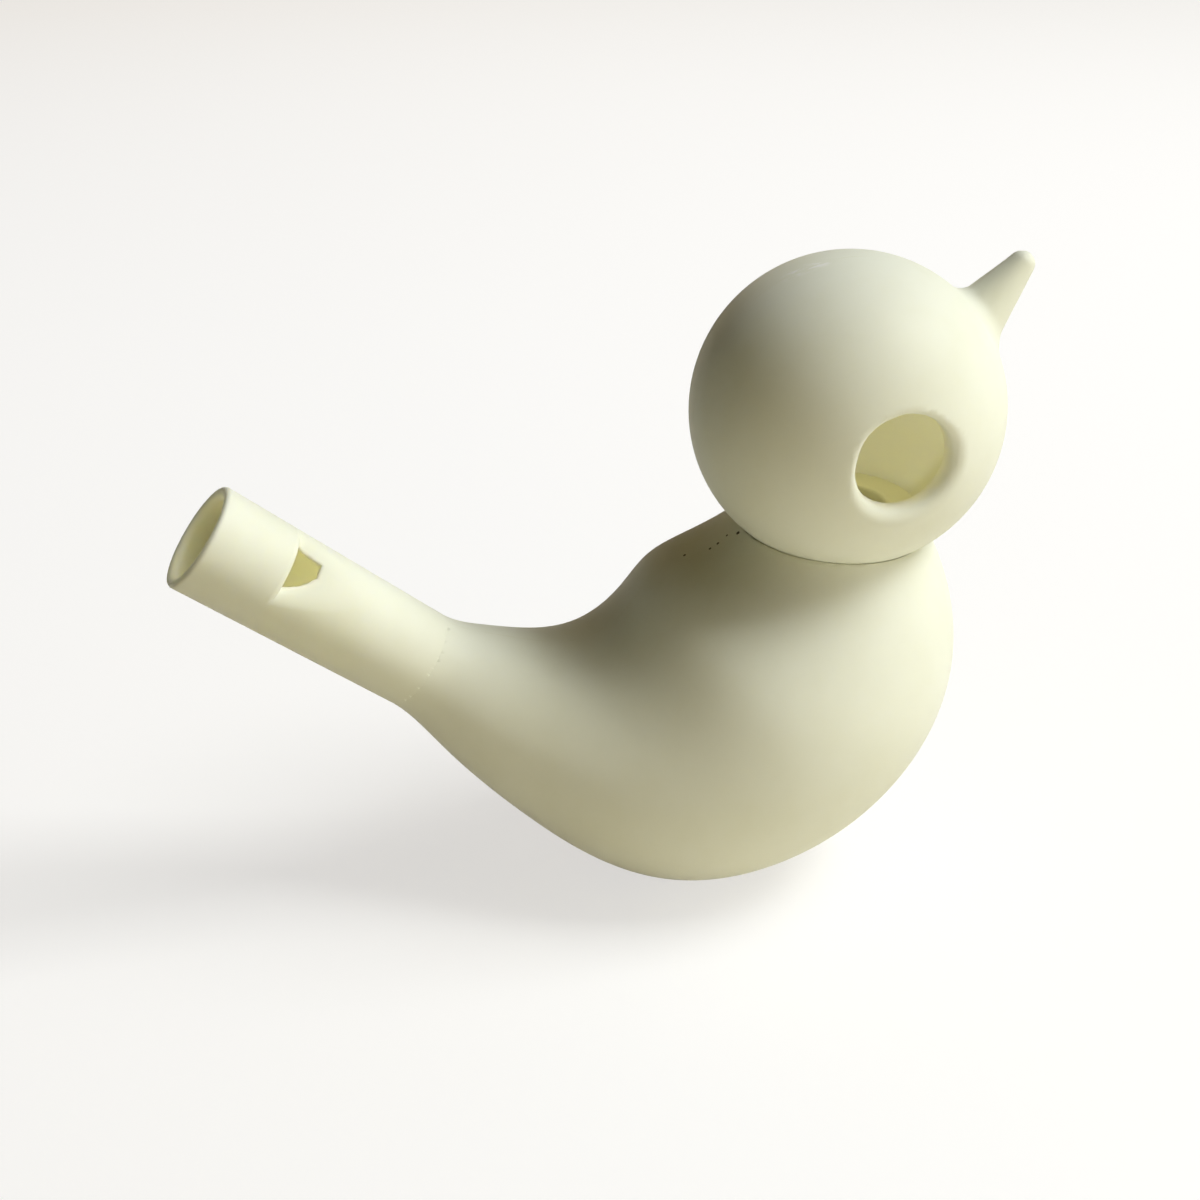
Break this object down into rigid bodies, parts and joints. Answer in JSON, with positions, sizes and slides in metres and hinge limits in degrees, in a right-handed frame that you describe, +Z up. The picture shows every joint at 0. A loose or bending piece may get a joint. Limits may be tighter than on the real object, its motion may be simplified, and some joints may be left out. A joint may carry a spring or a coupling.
{
  "type": "bird call",
  "caption": "Hollow bird-shaped water whistle: round head with eye openings and a pointed beak, full body on a flat base, and a straight whistle tube for a tail.",
  "frame": {"origin": "centre of the flat that the bird stands on", "axes": "+X towards the beak, +Y to the bird's left, +Z up"},
  "size_m": [0.0826, 0.0348, 0.0646],
  "materials": {
    "cream_plastic": "satin"
  },
  "bodies": {
    "root": {"body_right_shell": "cream_plastic", "body_left_shell": "cream_plastic", "head_right_shell": "cream_plastic", "head_left_shell": "cream_plastic", "neck_collar": "cream_plastic", "whistle_tube": "cream_plastic", "fipple_block": "cream_plastic"}
  },
  "joints": []
}
